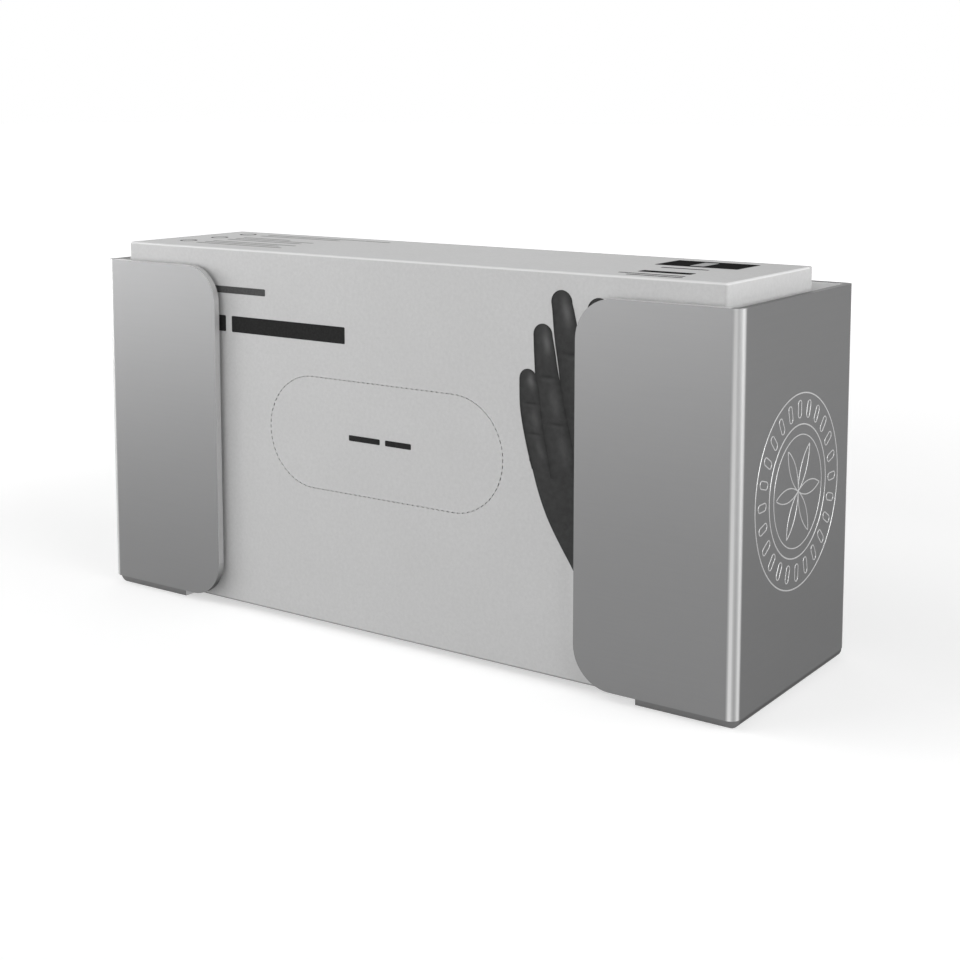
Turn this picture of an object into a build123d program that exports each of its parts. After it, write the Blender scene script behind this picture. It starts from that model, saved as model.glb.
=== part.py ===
from build123d import *
import os

# Wall-mounted dispenser for one carton of disposable gloves: a holder folded
# from one aluminium sheet, and the sealed carton that stands in it.
#
# Millimetres. +X is to the right seen from the front, +Y runs back into the
# wall and +Z is up. The origin is midway between the two sides and midway
# between front and back, at the underside of the floor tabs.
# The carton drives the sizes, and the holder is folded round it.

# Sealed carton
carton_width = 239.3            # along X
carton_depth = 58.8             # along Y
carton_height = 125.1           # along Z
carton_corner_radius = 1.0      # rounding of the four upright edges
carton_edge_radius = 0.8        # rounding of the folds round top and bottom
board_thickness = 0.5

# Tear-out window in the front of the carton
window_width = 96.0
window_height = 38.0
window_shift = -3.8             # window's centre, sideways from the carton's
window_rise = 65.0              # window's centre above the carton's underside
perforation_pitch = 2.0
perforation_length = 1.15
perforation_width = 0.35

# Glued flap that closes each end of the carton
flap_setback = 3.0              # the flap stops this far before the back fold

# Sheet that the holder is folded from
sheet_thickness = 2.3
bend_radius = 0.8               # inside radius of every bend
wing_width = 53.8               # each front wing, from the outside of its side
wing_corner_radius = 12.7
tab_length = 34.0               # each floor tab, from the outside of its side

# Room round the carton in the holder
left_clearance = 6.1
right_clearance = 4.0
front_clearance = 1.2
rear_clearance = 15.4
carton_stand_out = 6.5          # the carton rises this far out of the holder

# Screw holes in the back panel
screw_hole_diameter = 5.2
screw_spacing_across = 203.2
screw_spacing_up = 76.2

# Sizes that follow from those above
outer_bend_radius = bend_radius + sheet_thickness
holder_width = carton_width + left_clearance + right_clearance + 2 * sheet_thickness
holder_depth = carton_depth + front_clearance + rear_clearance + 2 * sheet_thickness
holder_height = sheet_thickness + carton_height - carton_stand_out
side_x = holder_width / 2
wing_edge_x = side_x - wing_width
tab_edge_x = side_x - tab_length
front_y = -holder_depth / 2
back_y = holder_depth / 2
wrap_bottom_z = outer_bend_radius
wrap_middle_z = (wrap_bottom_z + holder_height) / 2
tab_front_y = front_y + outer_bend_radius
tab_back_y = back_y - outer_bend_radius

carton_x = (left_clearance - right_clearance) / 2
carton_front_y = front_y + sheet_thickness + front_clearance
carton_back_y = carton_front_y + carton_depth
carton_y = (carton_front_y + carton_back_y) / 2
carton_bottom_z = sheet_thickness


# Holder: back, sides and wings are one band of sheet that stands upright. Its
# outer line is drawn in plan and thickened inwards, so each bend has its inside
# and its outside radius.
with BuildPart() as holder:
    with BuildSketch(Plane.XY.offset(wrap_bottom_z)):
        with BuildLine():
            FilletPolyline(
                (-wing_edge_x, front_y),
                (-side_x, front_y),
                (-side_x, back_y),
                (side_x, back_y),
                (side_x, front_y),
                (wing_edge_x, front_y),
                radius=outer_bend_radius,
            )
            offset(amount=sheet_thickness, side=Side.RIGHT)
        make_face()
    extrude(amount=holder_height - wrap_bottom_z)

    # Rounded free corners of the wings, above and below
    wing_corners = (
        holder.edges()
        .filter_by(Axis.Y)
        .filter_by_position(Axis.Y, front_y, front_y + sheet_thickness)
    )
    fillet(wing_corners, radius=wing_corner_radius)

    # Floor tabs, folded inwards from the foot of each side. Their ends stop at
    # the upright bends, which leaves the notch that the folding needs.
    with BuildSketch(Plane.XZ.offset(-tab_back_y)):
        with BuildLine():
            FilletPolyline(
                (side_x, wrap_bottom_z + sheet_thickness),
                (side_x, 0),
                (tab_edge_x, 0),
                radius=outer_bend_radius,
            )
            offset(amount=sheet_thickness, side=Side.RIGHT)
        make_face()
        mirror(about=Plane.YZ)
    extrude(amount=tab_back_y - tab_front_y)

    # Four screw holes through the back panel
    with Locations(Plane((0, back_y, wrap_middle_z), x_dir=(1, 0, 0), z_dir=(0, 1, 0))):
        with GridLocations(screw_spacing_across, screw_spacing_up, 2, 2):
            Hole(radius=screw_hole_diameter / 2, depth=sheet_thickness)

holder.part.label = "holder"


# Sealed carton: one closed block with rounded folds
with BuildPart() as glove_carton:
    with BuildSketch(Plane.XY.offset(carton_bottom_z)):
        with Locations((carton_x, carton_y)):
            RectangleRounded(carton_width, carton_depth, carton_corner_radius)
    extrude(amount=carton_height)
    fillet(
        glove_carton.edges().group_by(Axis.Z)[0] + glove_carton.edges().group_by(Axis.Z)[-1],
        radius=carton_edge_radius,
    )

    # Window's perforation: short cuts through the board along a slot outline
    window_plane = Plane(
        (carton_x + window_shift, carton_front_y, carton_bottom_z + window_rise),
        x_dir=(1, 0, 0),
        z_dir=(0, -1, 0),
    )
    with BuildSketch(window_plane):
        window_line = SlotOverall(window_width, window_height, mode=Mode.PRIVATE).wire()
        perforation_count = round(window_line.length / perforation_pitch)
        for number in range(perforation_count):
            share = number / perforation_count
            cut_angle = window_line.tangent_angle_at(share)
            with Locations(Location(window_line.position_at(share), (0, 0, cut_angle))):
                Rectangle(perforation_length, perforation_width)
    extrude(amount=-board_thickness, mode=Mode.SUBTRACT)

    # Each end: the outer flap stands one board proud of the flaps under it, and
    # its free edge is the upright step near the back fold.
    with BuildSketch(Plane.XY.offset(carton_bottom_z)):
        with Locations((carton_x, carton_back_y - flap_setback / 2)):
            with GridLocations(carton_width - board_thickness, 0, 2, 1):
                Rectangle(board_thickness, flap_setback)
    extrude(amount=carton_height, mode=Mode.SUBTRACT)

glove_carton.part.label = "glove_carton"


os.makedirs("parts", exist_ok=True)
export_step(holder.part, "parts/holder.step")
export_step(glove_carton.part, "parts/glove_carton.step")
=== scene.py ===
from math import cos, exp, hypot, pi, radians, sin

import bmesh
import bpy
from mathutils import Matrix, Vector


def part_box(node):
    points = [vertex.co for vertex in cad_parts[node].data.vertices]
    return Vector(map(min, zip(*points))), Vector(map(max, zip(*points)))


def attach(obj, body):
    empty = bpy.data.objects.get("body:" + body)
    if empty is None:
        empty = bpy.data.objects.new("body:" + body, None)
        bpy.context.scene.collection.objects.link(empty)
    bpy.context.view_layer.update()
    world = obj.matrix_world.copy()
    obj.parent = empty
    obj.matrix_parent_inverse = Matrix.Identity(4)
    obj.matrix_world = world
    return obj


# A glove dispenser: the folded sheet holder and the carton come from the frame.
# This script finishes their surfaces and adds the carton's print and the mark
# engraved in the holder's side. Lengths are in metres, and MM turns millimetres
# into metres.

MM = 0.001
BODY = "root"
WING_RIM_DEPTH = 2.5 * MM
BEND_SPAN = 3.6 * MM
SHEET_INSIDE = 2.2 * MM

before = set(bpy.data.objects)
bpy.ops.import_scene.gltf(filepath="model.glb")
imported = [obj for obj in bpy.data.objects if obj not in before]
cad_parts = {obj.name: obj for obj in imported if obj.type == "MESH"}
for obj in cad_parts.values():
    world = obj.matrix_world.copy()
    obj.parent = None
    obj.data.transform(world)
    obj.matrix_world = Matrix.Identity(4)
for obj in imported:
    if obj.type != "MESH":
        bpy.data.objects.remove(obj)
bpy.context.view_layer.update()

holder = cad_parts["holder"]
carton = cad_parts["glove_carton"]
holder_low, holder_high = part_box("holder")
carton_low, carton_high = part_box("glove_carton")
scene = bpy.context.scene


# ---------------------------------------------------------------- camera

CAMERA_PLACE = (318.07 * MM, -437.79 * MM, 176.30 * MM)
CAMERA_YAW = 0.61154
CAMERA_PITCH = -0.11451
CAMERA_LENS = 60.107
CAMERA_SHIFT_UP = -0.19792


def add_camera():
    data = bpy.data.cameras.new("camera")
    data.sensor_width = 36.0
    data.lens = CAMERA_LENS
    data.shift_y = CAMERA_SHIFT_UP
    data.clip_start = 0.01
    data.clip_end = 50.0
    camera = bpy.data.objects.new("camera", data)
    camera.location = CAMERA_PLACE
    camera.rotation_euler = (pi / 2 + CAMERA_PITCH, 0.0, CAMERA_YAW)
    scene.collection.objects.link(camera)
    scene.camera = camera


# ---------------------------------------------------------------- materials

# the sheet: base colours, and how rough it is
METAL_DARKER = (0.1910, 0.1915, 0.1925, 1.0)
METAL_PALER = (0.1950, 0.1955, 0.1965, 1.0)
# painted light on the inside faces, which stand in shade round the carton
METAL_INSIDE_PAINTED_LIGHT = 0.75
# painted shade on the floor tabs' front ends, under the wings
METAL_TAB_END_SHADE = 0.15
# cut edges: paler, partly bare metal and partly painted highlight
METAL_RIM_BARE_AND_HIGHLIGHT = 0.60
METAL_RIM_UNDER_SHADE = 0.15      # painted shade on a cut edge that faces down
METAL_FOLD_HIGHLIGHT_TOP = 0.37       # painted highlight: an upright bend's two bright bands, at its top
METAL_FOLD_HIGHLIGHT_FOOT = 0.60      # and at its foot, paler where less lamp light reaches
METAL_FOLD_DIP = 0.30       # how much of the bands is left between the two
# painted shade on the folds at the foot of the sides
METAL_FOOT_FOLD_SHADE = 0.09
METAL_EDGE_TINT = 0.60      # dims what the metal mirrors at a shallow angle
METAL_SMOOTHER = 0.355
METAL_ROUGHER = 0.365
INSIDE_ADDS_ROUGHNESS = 0.45
RIM_ADDS_ROUGHNESS = 0.20

# the carton's board: base colours
BOARD_DARKER = 0.515
BOARD_PALER = 0.565
BOARD_CLOUD = 0.46
BOARD_CLOUD_SHARE = 0.12
# painted highlight along the carton's folds
BOARD_FOLD_HIGHLIGHT = 0.74
BOARD_FOLD_UNDER_SHADE = 0.30     # painted shade on a fold that faces down
UPRIGHT_FOLD_SHARE = 0.4    # the painted highlight shows less on the upright folds


def new_material(name):
    """A material, its node tree and its Principled shader."""
    material = bpy.data.materials.new(name)
    material.use_nodes = True
    tree = material.node_tree
    shader = next(n for n in tree.nodes if n.type == "BSDF_PRINCIPLED")
    return material, tree, shader


def add_node(tree, kind, settings=None, **inputs):
    """Adds a node and sets or links its inputs.

    An input is named with underscores for its spaces, or _0, _1 and so on by number.
    """
    node = tree.nodes.new(kind)
    for key, value in (settings or {}).items():
        setattr(node, key, value)
    for key, value in inputs.items():
        socket = node.inputs[int(key[1:])] if key[0] == "_" else node.inputs[key.replace("_", " ")]
        if isinstance(value, bpy.types.NodeSocket):
            tree.links.new(value, socket)
        else:
            socket.default_value = value
    return node


def object_coordinates(tree, scale=(1.0, 1.0, 1.0)):
    place = add_node(tree, "ShaderNodeTexCoord")
    mapping = add_node(tree, "ShaderNodeMapping", Vector=place.outputs["Object"], Scale=scale)
    return mapping.outputs["Vector"]


def map_range(tree, value, low, high, to_low, to_high):
    node = add_node(tree, "ShaderNodeMapRange", Value=value)
    node.inputs["From Min"].default_value = low
    node.inputs["From Max"].default_value = high
    node.inputs["To Min"].default_value = to_low
    node.inputs["To Max"].default_value = to_high
    return node.outputs["Result"]


def mix_colours(tree, factor, first, second):
    node = add_node(tree, "ShaderNodeMix", {"data_type": "RGBA"})
    for socket, value in ((node.inputs[0], factor), (node.inputs[6], first), (node.inputs[7], second)):
        if isinstance(value, bpy.types.NodeSocket):
            tree.links.new(value, socket)
        else:
            socket.default_value = value
    return node.outputs[2]


def grey(value):
    return (value, value, value, 1.0)


def within(tree, value, low, high):
    """1 where the value lies between low and high."""
    node = add_node(
        tree, "ShaderNodeMath", {"operation": "COMPARE"},
        _0=value, _1=(low + high) / 2, _2=(high - low) / 2,
    )
    return node.outputs[0]


def combined(tree, operation, first, second):
    return add_node(tree, "ShaderNodeMath", {"operation": operation}, _0=first, _1=second).outputs[0]


def all_of(tree, *masks):
    result = masks[0]
    for mask in masks[1:]:
        result = combined(tree, "MULTIPLY", result, mask)
    return result


def where_and_facing(tree):
    """The place on the object and the way its surface faces, each as x, y and z."""
    place = add_node(tree, "ShaderNodeTexCoord")
    spot = add_node(tree, "ShaderNodeSeparateXYZ", Vector=place.outputs["Object"])
    facing = add_node(tree, "ShaderNodeSeparateXYZ", Vector=place.outputs["Normal"])
    return spot.outputs, facing.outputs


def between_two_sides(tree, first, second):
    """0 on either of two square sides, and up to 1 halfway round the fold between them."""
    product = combined(tree, "MULTIPLY", first, second)
    double = combined(tree, "MULTIPLY", product, 2.0)
    return add_node(tree, "ShaderNodeMath", {"operation": "ABSOLUTE"}, _0=double).outputs[0]


def wing_rims(tree, spot, facing):
    """1 on the cut edges round the wings and on the free ends of the floor tabs."""
    wings = all_of(
        tree,
        within(tree, spot["Y"], holder_low.y - 1 * MM, holder_low.y + WING_RIM_DEPTH),
        within(tree, spot["X"], holder_low.x + BEND_SPAN, holder_high.x - BEND_SPAN),
        within(tree, facing["Y"], -0.4, 0.4),
    )
    tabs = all_of(
        tree,
        within(tree, spot["Z"], holder_low.z + 0.02 * MM, holder_low.z + 2.28 * MM),
        within(tree, spot["X"], holder_low.x + BEND_SPAN, holder_high.x - BEND_SPAN),
        within(tree, facing["Z"], -0.3, 0.3),
        within(tree, facing["Y"], -0.3, 0.3),
    )
    return combined(tree, "MAXIMUM", wings, tabs)


def tab_ends(tree, spot, facing):
    """1 on the front ends of the floor tabs, which stand just behind the wings."""
    return all_of(
        tree,
        within(tree, facing["Y"], -1.1, -0.7),
        within(tree, spot["Y"], holder_low.y + 2.9 * MM, holder_low.y + 3.3 * MM),
    )


def inside_faces(tree, spot):
    """1 on the faces that the carton stands between."""
    return all_of(
        tree,
        within(tree, spot["X"], holder_low.x + SHEET_INSIDE, holder_high.x - SHEET_INSIDE),
        within(tree, spot["Y"], holder_low.y + SHEET_INSIDE, holder_high.y - SHEET_INSIDE),
        within(tree, spot["Z"], holder_low.z + 2.4 * MM, holder_high.z - 0.1 * MM),
    )


def painted_fold_highlights(tree, facing):
    """1 in the two bands of painted highlight along each upright bend."""
    turn = between_two_sides(tree, facing["X"], facing["Y"])
    rise = map_range(tree, turn, 0.12, 0.50, 0.0, 1.0)
    dip = map_range(tree, turn, 0.80, 1.00, 1.0, METAL_FOLD_DIP)
    return combined(tree, "MULTIPLY", rise, dip)


def shaded_foot_folds(tree, spot, facing):
    """1 round the folds at the foot of the sides, which get painted shade."""
    turn = between_two_sides(tree, facing["X"], facing["Z"])
    low = within(tree, spot["Z"], holder_low.z - 1 * MM, holder_low.z + 3.2 * MM)
    return combined(tree, "MULTIPLY", map_range(tree, turn, 0.1, 0.5, 0.0, 1.0), low)


def sheet_metal():
    """Satin aluminium with a very faint grain; painted highlight on the bends, paler cut edges,
    painted shade at the tab ends and foot folds, painted light inside.
    """
    material, tree, shader = new_material("satin_aluminium")
    spot, facing = where_and_facing(tree)
    grain = add_node(
        tree, "ShaderNodeTexNoise", Vector=object_coordinates(tree, (25.0, 25.0, 1400.0)),
        Scale=1.0, Detail=3.0, Roughness=0.6,
    )
    cloud = add_node(
        tree, "ShaderNodeTexNoise", Vector=object_coordinates(tree),
        Scale=28.0, Detail=2.0, Roughness=0.5,
    )
    tone = map_range(tree, grain.outputs["Fac"], 0.3, 0.7, 0.0, 1.0)
    colour = mix_colours(tree, tone, METAL_DARKER, METAL_PALER)
    inside = inside_faces(tree, spot)
    rims = wing_rims(tree, spot, facing)
    # cut edges: partly bare metal and partly painted highlight, with painted shade where they face
    # down
    rim_share = map_range(tree, facing["Z"], -0.6, 0.0, 0.0, 1.0)
    rim_tone = mix_colours(tree, rim_share, grey(METAL_RIM_UNDER_SHADE), grey(METAL_RIM_BARE_AND_HIGHLIGHT))
    # painted highlight on the upright bends, made paler towards the foot
    fold_share = map_range(tree, spot["Z"], holder_low.z, holder_high.z, 0.0, 1.0)
    fold_tone = mix_colours(tree, fold_share, grey(METAL_FOLD_HIGHLIGHT_FOOT), grey(METAL_FOLD_HIGHLIGHT_TOP))
    # painted light: the inside faces are made paler, as if lit
    colour = mix_colours(tree, inside, colour, grey(METAL_INSIDE_PAINTED_LIGHT))
    # painted shade on the tab ends, which stand under the wings
    colour = mix_colours(tree, tab_ends(tree, spot, facing), colour, grey(METAL_TAB_END_SHADE))
    colour = mix_colours(tree, painted_fold_highlights(tree, facing), colour, fold_tone)
    # painted shade on the folds at the foot
    colour = mix_colours(tree, shaded_foot_folds(tree, spot, facing), colour, grey(METAL_FOOT_FOLD_SHADE))
    colour = mix_colours(tree, rims, colour, rim_tone)
    tree.links.new(colour, shader.inputs["Base Color"])
    rough = map_range(tree, cloud.outputs["Fac"], 0.3, 0.7, METAL_SMOOTHER, METAL_ROUGHER)
    rougher = combined(tree, "MULTIPLY", inside, INSIDE_ADDS_ROUGHNESS)
    rim_part = combined(tree, "MULTIPLY", rims, RIM_ADDS_ROUGHNESS)
    rougher = combined(tree, "ADD", rougher, rim_part)
    tree.links.new(combined(tree, "ADD", rough, rougher), shader.inputs["Roughness"])
    shader.inputs["Metallic"].default_value = 1.0
    shader.inputs["Specular Tint"].default_value = grey(METAL_EDGE_TINT)
    return material


def carton_board():
    """Matt coated board: pale grey with the faint mottle of card."""
    material, tree, shader = new_material("carton_board")
    mottle = add_node(
        tree, "ShaderNodeTexNoise", Vector=object_coordinates(tree),
        Scale=900.0, Detail=4.0, Roughness=0.65,
    )
    cloud = add_node(
        tree, "ShaderNodeTexNoise", Vector=object_coordinates(tree),
        Scale=35.0, Detail=3.0, Roughness=0.55,
    )
    speck = map_range(tree, mottle.outputs["Fac"], 0.3, 0.7, 0.0, 1.0)
    face = mix_colours(tree, speck, grey(BOARD_DARKER), grey(BOARD_PALER))
    drift = map_range(tree, cloud.outputs["Fac"], 0.35, 0.65, 0.0, BOARD_CLOUD_SHARE)
    face = mix_colours(tree, drift, face, grey(BOARD_CLOUD))
    spot, facing = where_and_facing(tree)
    # painted highlight along the folds, with painted shade where a fold faces down
    upright = between_two_sides(tree, facing["X"], facing["Y"])
    upright = combined(tree, "MULTIPLY", upright, UPRIGHT_FOLD_SHARE)
    ends = combined(tree, "MAXIMUM", upright, between_two_sides(tree, facing["X"], facing["Z"]))
    folds = combined(tree, "MAXIMUM", between_two_sides(tree, facing["Y"], facing["Z"]), ends)
    fold_share = map_range(tree, facing["Z"], -0.3, 0.3, 0.0, 1.0)
    fold_tone = mix_colours(tree, fold_share, grey(BOARD_FOLD_UNDER_SHADE), grey(BOARD_FOLD_HIGHLIGHT))
    face = mix_colours(tree, map_range(tree, folds, 0.1, 0.6, 0.0, 1.0), face, fold_tone)
    tree.links.new(face, shader.inputs["Base Color"])
    shader.inputs["Roughness"].default_value = 0.55
    shader.inputs["Specular IOR Level"].default_value = 0.35
    bump = add_node(
        tree, "ShaderNodeBump", Height=mottle.outputs["Fac"], Strength=0.25, Distance=0.04 * MM
    )
    tree.links.new(bump.outputs["Normal"], shader.inputs["Normal"])
    return material


def ink(name, dark, pale):
    """Printing ink, slightly uneven over the board."""
    material, tree, shader = new_material(name)
    speck = add_node(
        tree, "ShaderNodeTexNoise", Vector=object_coordinates(tree),
        Scale=1400.0, Detail=3.0, Roughness=0.6,
    )
    tone = map_range(tree, speck.outputs["Fac"], 0.3, 0.7, 0.0, 1.0)
    tree.links.new(mix_colours(tree, tone, grey(dark), grey(pale)), shader.inputs["Base Color"])
    shader.inputs["Roughness"].default_value = 0.6
    shader.inputs["Specular IOR Level"].default_value = 0.0
    return material


def engraved_line():
    """Bright metal where the mark is cut through the satin finish."""
    material, tree, shader = new_material("engraved_line")
    grain = add_node(
        tree, "ShaderNodeTexNoise", Vector=object_coordinates(tree),
        Scale=1800.0, Detail=2.0, Roughness=0.5,
    )
    tone = map_range(tree, grain.outputs["Fac"], 0.3, 0.7, 0.0, 1.0)
    tree.links.new(mix_colours(tree, tone, grey(0.42), grey(0.50)), shader.inputs["Base Color"])
    shader.inputs["Metallic"].default_value = 1.0
    shader.inputs["Roughness"].default_value = 0.30
    return material


# ---------------------------------------------------------------- stage and light

FLOOR_HALF = 12.0
FLOOR_GLOW_NEAR = 0.52
FLOOR_GLOW_FAR = 1.0
GLOW_STARTS = 0.25          # metres from the origin
GLOW_FULL = 1.1
WORLD_SOFT_LIGHT = 0.13
LAMP_AIM = Vector((0.0, 0.0, 0.06))

# Each lamp: name, azimuth from the front and height angle in degrees, distance and
# size in metres, and how bright its face is.
SOFTBOXES = (
    ("front_left", -50, 8, 1.3, (0.9, 0.5), 2.30),
    ("front_left_high", -50, 40, 1.3, (0.9, 0.7), 2.25),
    ("left", -75, 10, 1.2, (0.6, 0.5), 8.00),
    ("front", -20, 8, 1.3, (0.5, 0.5), 2.10),
    ("front_right", 25, 12, 1.1, (0.4, 0.4), 1.50),
    ("right_front", 75, 16, 0.9, (0.6, 0.4), 4.40),
    ("right_back", 100, 16, 0.9, (0.5, 0.4), 3.00),
    ("right_high", 90, 42, 1.2, (0.8, 0.6), 1.05),
    ("back_left", -140, 25, 1.3, (0.8, 0.6), 1.05),
)


def seen_directly(tree):
    """1 for rays that show the background: from the camera, or off or through a surface."""
    path = add_node(tree, "ShaderNodeLightPath")
    first = add_node(
        tree, "ShaderNodeMath", {"operation": "MAXIMUM"},
        _0=path.outputs["Is Camera Ray"], _1=path.outputs["Is Glossy Ray"],
    )
    second = add_node(
        tree, "ShaderNodeMath", {"operation": "MAXIMUM"},
        _0=first.outputs[0], _1=path.outputs["Is Transmission Ray"],
    )
    return second.outputs[0]


def add_floor():
    """A plain pale floor. It whitens with distance, so that it meets the white world."""
    material, tree, shader = new_material("pale_floor")
    cloud = add_node(
        tree, "ShaderNodeTexNoise", Vector=object_coordinates(tree),
        Scale=3.0, Detail=2.0, Roughness=0.5,
    )
    tone = map_range(tree, cloud.outputs["Fac"], 0.3, 0.7, 0.0, 1.0)
    tree.links.new(mix_colours(tree, tone, grey(0.59), grey(0.61)), shader.inputs["Base Color"])
    shader.inputs["Roughness"].default_value = 0.9
    shader.inputs["Specular IOR Level"].default_value = 0.2
    reach = add_node(
        tree, "ShaderNodeVectorMath", {"operation": "LENGTH"}, _0=object_coordinates(tree)
    )
    glow = map_range(
        tree, reach.outputs["Value"], GLOW_STARTS, GLOW_FULL, FLOOR_GLOW_NEAR, FLOOR_GLOW_FAR
    )
    glow = add_node(
        tree, "ShaderNodeMath", {"operation": "MULTIPLY"}, _0=glow, _1=seen_directly(tree)
    )
    shader.inputs["Emission Color"].default_value = grey(1.0)
    tree.links.new(glow.outputs[0], shader.inputs["Emission Strength"])
    mesh = bpy.data.meshes.new("floor")
    bm = bmesh.new()
    corners = ((-1, -1), (1, -1), (1, 1), (-1, 1))
    bm.faces.new([bm.verts.new((x * FLOOR_HALF, y * FLOOR_HALF, 0.0)) for x, y in corners])
    bm.to_mesh(mesh)
    bm.free()
    floor = bpy.data.objects.new("floor", mesh)
    scene.collection.objects.link(floor)
    mesh.materials.append(material)


def add_world():
    """White where it is seen, and a soft even light on everything."""
    world = bpy.data.worlds.new("studio")
    scene.world = world
    world.use_nodes = True
    tree = world.node_tree
    background = next(n for n in tree.nodes if n.type == "BACKGROUND")
    background.inputs["Color"].default_value = grey(1.0)
    strength = map_range(tree, seen_directly(tree), 0.0, 1.0, WORLD_SOFT_LIGHT, 1.0)
    tree.links.new(strength, background.inputs["Strength"])


def add_softbox(name, azimuth, height_angle, distance, size, level):
    """A soft rectangular lamp aimed at the object."""
    turn, lift = radians(azimuth), radians(height_angle)
    towards = Vector((sin(turn) * cos(lift), -cos(turn) * cos(lift), sin(lift)))
    data = bpy.data.lights.new(name, "AREA")
    data.shape = "RECTANGLE"
    data.size, data.size_y = size
    data.energy = level * pi * size[0] * size[1]
    lamp = bpy.data.objects.new(name, data)
    lamp.location = LAMP_AIM + towards * distance
    lamp.rotation_euler = (-towards).to_track_quat("-Z", "Y").to_euler()
    lamp.visible_camera = False
    scene.collection.objects.link(lamp)


# ---------------------------------------------------------------- drawing on a face

SUNK = 0.02 * MM            # how far a drawn piece reaches into what carries it


class Face:
    """A flat face with its own millimetre coordinates: across, up and out of it."""

    def __init__(self, origin, across, up, out):
        self.origin, self.across = Vector(origin), Vector(across)
        self.up, self.out = Vector(up), Vector(out)

    def point(self, across, up, out=0.0):
        return self.origin + (self.across * across + self.up * up + self.out * out) * MM


def finish_piece(name, bm, material):
    """Turns the mesh into a named piece that rides on the body."""
    bmesh.ops.recalc_face_normals(bm, faces=bm.faces)
    mesh = bpy.data.meshes.new(name)
    bm.to_mesh(mesh)
    bm.free()
    piece = bpy.data.objects.new(name, mesh)
    scene.collection.objects.link(piece)
    mesh.materials.append(material)
    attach(piece, BODY)


def add_outline(bm, face, outline, height):
    """A thin printed area: its top, a skirt down into the board, and its underside."""
    sunk = -SUNK / MM
    top = [bm.verts.new(face.point(u, v, height)) for u, v in outline]
    foot = [bm.verts.new(face.point(u, v, sunk)) for u, v in outline]
    bm.faces.new(top)
    bm.faces.new(list(reversed(foot)))
    for i in range(len(outline)):
        j = (i + 1) % len(outline)
        bm.faces.new((top[i], top[j], foot[j], foot[i]))


def arc_points(centre, radius, start, end, steps):
    """Points along an arc. Angles are in degrees."""
    angles = [radians(start + (end - start) * i / steps) for i in range(steps + 1)]
    return [(centre[0] + radius * cos(a), centre[1] + radius * sin(a)) for a in angles]


def bar_outline(left, right, middle, height):
    """A bar with rounded corners, from left to right and about the line middle."""
    corner = min(height * 0.2, 0.4)
    low, high = middle - height / 2 + corner, middle + height / 2 - corner
    outline = []
    for u, v, start in (
        (right - corner, high, 0),
        (left + corner, high, 90),
        (left + corner, low, 180),
        (right - corner, low, 270),
    ):
        outline += arc_points((u, v), corner, start, start + 90, 5)
    return outline


def add_ring(bm, face, centre, outer, inner, height):
    """A flat ring of ink."""
    steps = 40
    sunk = -SUNK / MM
    loops = []
    for radius, out in ((inner, sunk), (inner, height), (outer, height), (outer, sunk)):
        points = arc_points(centre, radius, 0, 360, steps)[:-1]
        loops.append([bm.verts.new(face.point(u, v, out)) for u, v in points])
    for first, second in zip(loops, loops[1:] + loops[:1]):
        for i in range(steps):
            j = (i + 1) % steps
            bm.faces.new((first[i], first[j], second[j], second[i]))


# ---------------------------------------------------------------- print on the carton

INK_HEIGHT = 0.04            # lengths in this section are in millimetres
PATCH_HEIGHT = 0.07          # a pale patch on top of dark ink
PLAIN_SHEEN = 0.20
KNUCKLES = (0.36, 0.66)
front_face = Face((carton_low.x, carton_low.y, carton_low.z), (1, 0, 0), (0, 0, 1), (0, -1, 0))
top_face = Face((carton_low.x, carton_low.y, carton_high.z), (1, 0, 0), (0, 1, 0), (0, 0, 1))

# bars of print: left, right, middle line and height
HEADING_THIN = [(19.0, 66.0, 110.7, 2.4)]
HEADING_BOLD = [(19.0, 47.5, 98.9, 5.6), (50.3, 101.0, 98.9, 5.6)]
WINDOW_BARS = [(102.4, 115.4, 65.0, 1.9), (117.6, 128.2, 65.0, 1.9)]
TOP_PANEL = [(197.0, 225.2, 42.9, 16.4)]
TOP_PANEL_PATCH = [(208.0, 212.6, 42.6, 11.0)]
TOP_BAR = [(202.9, 220.4, 15.6, 4.2)]
TOP_LINES_RIGHT = [(203.0, 219.0, 28.2, 1.6), (199.6, 221.5, 8.4, 1.2), (204.0, 222.5, 5.0, 1.2)]

# rows on the top, each a ring and a block of lines: middle line, and where each line ends
TOP_ROWS = ((47.5, (81.0, 61.0)), (32.0, (45.0, 60.0, 58.0)), (16.0, (62.0, 58.0, 63.0)))
TOP_RING_PLACE = 14.0
TOP_LINE_START = 22.5
TOP_LINE_STEP = 4.3
TOP_LINE_HEIGHT = 1.2


def add_bars(name, face, bars, material, thickness=INK_HEIGHT):
    """Plain bars of ink, each given by its left, right, middle line and height."""
    bm = bmesh.new()
    for left, right, middle, height in bars:
        add_outline(bm, face, bar_outline(left, right, middle, height), thickness)
    finish_piece(name, bm, material)


def add_front_print(dark, medium):
    add_bars("heading_bar_thin", front_face, HEADING_THIN, medium)
    add_bars("heading_bars_bold", front_face, HEADING_BOLD, dark)
    add_bars("window_bars", front_face, WINDOW_BARS, dark)


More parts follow.
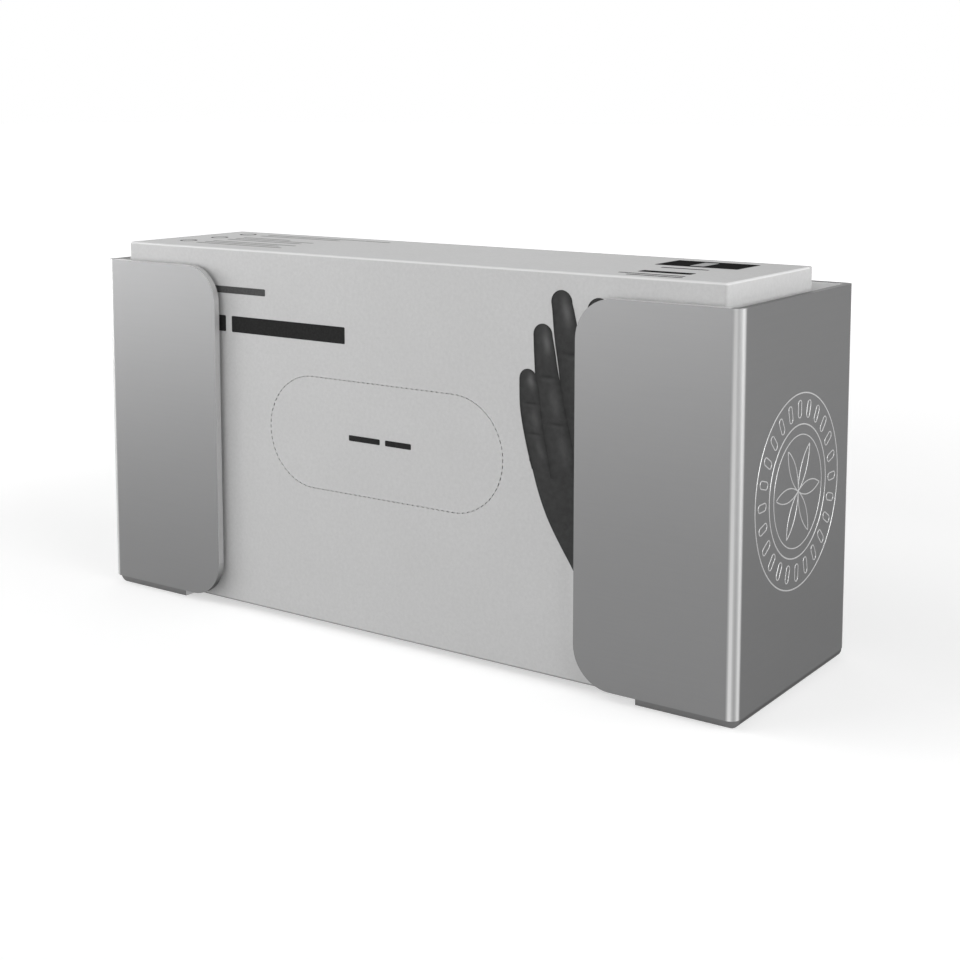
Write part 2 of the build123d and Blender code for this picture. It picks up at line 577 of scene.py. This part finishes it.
def add_top_print(dark, medium, light, pale):
    lines = []
    rings = bmesh.new()
    for middle, ends in TOP_ROWS:
        add_ring(rings, top_face, (TOP_RING_PLACE, middle), 3.2, 2.5, INK_HEIGHT)
        first = middle + TOP_LINE_STEP * (len(ends) - 1) / 2
        for i, end in enumerate(ends):
            lines.append((TOP_LINE_START, end, first - TOP_LINE_STEP * i, TOP_LINE_HEIGHT))
    finish_piece("top_rings", rings, medium)
    add_bars("top_lines_left", top_face, lines, light)
    add_bars("top_panel", top_face, TOP_PANEL, dark)
    add_bars("top_panel_patch", top_face, TOP_PANEL_PATCH, pale, PATCH_HEIGHT)
    add_bars("top_bar", top_face, TOP_BAR, dark)
    add_bars("top_lines_right", top_face, TOP_LINES_RIGHT, medium)


def add_sheet_of_points(bm, face, rows, height, sheen, layer):
    """A thin raised area over a grid of points, with a skirt round it."""
    sunk = -SUNK / MM
    top = [[bm.verts.new(face.point(u, v, height)) for u, v in row] for row in rows]
    for row, values in zip(top, sheen):
        for vertex, value in zip(row, values):
            vertex[layer] = value
    for a, b in zip(top, top[1:]):
        for i in range(len(a) - 1):
            bm.faces.new((a[i], a[i + 1], b[i + 1], b[i]))
    edge = list(top[0])
    edge += [row[-1] for row in top[1:]]
    edge += [top[-1][i] for i in range(len(top[-1]) - 2, -1, -1)]
    edge += [row[0] for row in reversed(top[1:-1])]
    drop = face.out * ((height - sunk) * MM)
    foot = [bm.verts.new(vertex.co - drop) for vertex in edge]
    for i in range(len(edge)):
        j = (i + 1) % len(edge)
        bm.faces.new((edge[i], edge[j], foot[j], foot[i]))


def smooth_curve(points, steps, closed):
    """A smooth curve through the points, which may have any number of values each."""
    count = len(points)
    spans = count if closed else count - 1
    curve = []
    for i in range(spans):
        near = [i - 1, i, i + 1, i + 2]
        near = [k % count if closed else min(max(k, 0), count - 1) for k in near]
        a, b, c, d = (points[k] for k in near)
        for step in range(steps):
            t = step / steps
            curve.append(tuple(
                0.5 * (2 * b[n] + (c[n] - a[n]) * t
                       + (2 * a[n] - 5 * b[n] + 4 * c[n] - d[n]) * t * t
                       + (3 * b[n] - a[n] - 3 * c[n] + d[n]) * t**3)
                for n in range(len(b))
            ))
    if not closed:
        curve.append(tuple(points[-1]))
    return curve


def bump(value, middle, spread):
    """A smooth hump, 1 at the middle."""
    return exp(-(((value - middle) / spread) ** 2))


def finger_sheen(share, lane):
    """How pale the ink is on a finger. Share runs to the tip and lane from side to side."""
    body = PLAIN_SHEEN * (1.0 - 0.75 * abs(lane) ** 4)
    light = 0.25 * bump(share, 0.50, 0.10) + 0.20 * bump(share, 0.20, 0.10)
    light += 0.55 * bump(share, 0.88, 0.07)
    crease = 0.0
    for place in KNUCKLES:
        crease += 0.14 * bump(share, place, 0.010) - 0.10 * bump(share, place - 0.025, 0.012)
    return max(0.0, body + light * bump(lane, 0.30, 0.35) - crease * bump(lane, 0.1, 0.6))


def finger_rows(stations):
    """A round-ended finger through stations of across, up and half width, as rows."""
    lanes = 13
    spine = smooth_curve(stations, 14, False)
    u, v, half = spine[-1]
    for k in range(1, 8):
        turn = radians(90 * k / 7)
        spine.append((u, v + half * sin(turn), max(half * cos(turn), 0.15)))
    rows, sheen = [], []
    low, high = spine[0][1], spine[-1][1]
    for u, v, half in spine:
        places = [2.0 * j / (lanes - 1) - 1.0 for j in range(lanes)]
        rows.append([(u + half * lane, v) for lane in places])
        sheen.append([finger_sheen((v - low) / (high - low), lane) for lane in places])
    return rows, sheen


def add_glove_picture(material):
    """A plain gloved hand in dark ink: a palm and five fingers, drawn from scratch."""
    bm = bmesh.new()
    layer = bm.verts.layers.float.new("sheen")
    palm = [
        (173.9, 67.5), (174.4, 65.4), (176.7, 57.8), (179.4, 51.2), (182.2, 46.0), (185.8, 40.4),
        (189.7, 34.5), (193.6, 27.0), (196.4, 10.0), (222.0, 10.0), (223.0, 24.0), (229.0, 40.0),
        (231.0, 56.0), (222.0, 68.0), (206.0, 76.0), (190.0, 77.0), (179.0, 74.0),
    ]
    add_outline(bm, front_face, smooth_curve(palm, 6, True), INK_HEIGHT)
    for vertex in bm.verts:
        vertex[layer] = PLAIN_SHEEN
    fingers = (
        ((205.0, 66.0, 5.5), (203.0, 84.0, 5.2), (200.2, 100.0, 4.6), (198.0, 114.0, 4.1)),
        (
            (194.5, 64.0, 5.4), (193.0, 76.0, 5.9), (191.2, 86.5, 5.9), (188.8, 97.0, 5.0),
            (187.0, 105.0, 4.5), (185.6, 113.0, 3.9), (185.0, 115.9, 3.7),
        ),
        (
            (186.0, 62.0, 4.6), (184.2, 72.0, 5.0), (181.6, 83.5, 4.8), (180.4, 90.2, 4.5),
            (179.6, 95.4, 4.1), (179.0, 100.6, 3.8), (178.4, 105.6, 3.4),
        ),
        (
            (178.0, 64.0, 3.4), (176.5, 70.0, 3.6), (174.9, 77.0, 3.7), (174.0, 83.0, 3.8),
            (173.5, 89.0, 3.5), (173.1, 91.7, 3.1),
        ),
        ((222.0, 44.0, 6.0), (228.0, 58.0, 5.0), (232.0, 72.0, 4.2)),
    )
    for number, stations in enumerate(fingers):
        rows, sheen = finger_rows(stations)
        height = INK_HEIGHT + 0.012 * (number + 1)
        add_sheet_of_points(bm, front_face, rows, height, sheen, layer)
    finish_piece("glove_picture", bm, material)


def glove_ink():
    """Dark ink that pales where the picture's sheen is."""
    material, tree, shader = new_material("glove_ink")
    sheen = add_node(tree, "ShaderNodeAttribute", {"attribute_name": "sheen"})
    speck = add_node(
        tree, "ShaderNodeTexNoise", Vector=object_coordinates(tree),
        Scale=500.0, Detail=3.0, Roughness=0.6,
    )
    drift = map_range(tree, speck.outputs["Fac"], 0.3, 0.7, -0.05, 0.05)
    paleness = combined(tree, "ADD", sheen.outputs["Fac"], drift)
    tone = map_range(tree, paleness, 0.0, 1.0, 0.0, 1.0)    # keeps it between 0 and 1
    colour = mix_colours(tree, tone, grey(0.014), grey(0.130))
    tree.links.new(colour, shader.inputs["Base Color"])
    shader.inputs["Roughness"].default_value = 0.55
    shader.inputs["Specular IOR Level"].default_value = 0.10
    return material


# ---------------------------------------------------------------- mark in the holder's side

MARK_RADIUS = 29.6
MARK_INNER_RADIUS = 20.2
MARK_LINE = 0.40
MARK_RING_LINE = 0.48
MARK_HEIGHT = 0.10


def add_line(bm, face, points, closed, width=MARK_LINE):
    """A fine raised burr along a line, round in section."""
    lanes = 5
    count = len(points)
    rows = []
    for i, (u, v) in enumerate(points):
        before = points[(i - 1) % count] if closed or i > 0 else points[i]
        after = points[(i + 1) % count] if closed or i < count - 1 else points[i]
        length = hypot(after[0] - before[0], after[1] - before[1])
        side = ((after[1] - before[1]) / length, (before[0] - after[0]) / length)
        row = []
        for lane in range(lanes):
            angle = pi * lane / (lanes - 1)
            out = MARK_HEIGHT * sin(angle) - SUNK / MM
            step = width / 2 * cos(angle)
            row.append(bm.verts.new(face.point(u + side[0] * step, v + side[1] * step, out)))
        rows.append(row)
    spans = zip(rows, rows[1:] + rows[:1]) if closed else zip(rows, rows[1:])
    for a, b in spans:
        for i in range(lanes):
            j = (i + 1) % lanes
            bm.faces.new((a[i], a[j], b[j], b[i]))
    if not closed:
        bm.faces.new(rows[0])
        bm.faces.new(list(reversed(rows[-1])))


def add_side_mark(material):
    """A plain engraved roundel: two rings, a border of loops and a drawn flower."""
    middle = ((holder_low.y + holder_high.y) / 2, (holder_low.z + holder_high.z) / 2 + 1.55 * MM)
    face = Face((holder_high.x, middle[0], middle[1]), (0, 1, 0), (0, 0, 1), (1, 0, 0))
    rings = bmesh.new()
    for radius in (MARK_RADIUS, MARK_INNER_RADIUS):
        add_line(rings, face, arc_points((0, 0), radius, 0, 360, 120)[:-1], True, MARK_RING_LINE)
    finish_piece("side_mark_rings", rings, material)

    border = bmesh.new()
    loops = 24
    loop_middle = (MARK_RADIUS + MARK_INNER_RADIUS) / 2
    half_length, half_width = 1.5, 1.15
    for number in range(loops):
        turn = 2 * pi * number / loops
        outline = arc_points((half_length, 0), half_width, -90, 90, 8)
        outline += arc_points((-half_length, 0), half_width, 90, 270, 8)
        placed = []
        for u, v in outline:
            out = loop_middle + u
            placed.append((out * cos(turn) - v * sin(turn), out * sin(turn) + v * cos(turn)))
        add_line(border, face, placed, True)
    finish_piece("side_mark_border", border, material)

    flower = bmesh.new()
    reach = 15.5
    for number in range(6):
        turn = 60 * number
        centre = (reach * cos(radians(turn)), reach * sin(radians(turn)))
        add_line(flower, face, arc_points(centre, reach, turn + 120.5, turn + 239.5, 24), False)
    add_line(flower, face, arc_points((0, 0), reach + 1.6, 0, 360, 96)[:-1], True)
    finish_piece("side_mark_flower", flower, material)


# ---------------------------------------------------------------- main

scene.view_settings.view_transform = "Standard"

add_camera()
add_floor()
add_world()
for softbox in SOFTBOXES:
    add_softbox(*softbox)

for node, material in ((holder, sheet_metal()), (carton, carton_board())):
    node.data.materials.clear()
    node.data.materials.append(material)

dark_ink = ink("dark_ink", 0.024, 0.034)
medium_ink = ink("medium_ink", 0.075, 0.100)
light_ink = ink("light_ink", 0.270, 0.320)
pale_ink = ink("pale_ink", 0.540, 0.590)
add_front_print(dark_ink, medium_ink)
add_top_print(dark_ink, medium_ink, light_ink, pale_ink)
add_glove_picture(glove_ink())
add_side_mark(engraved_line())
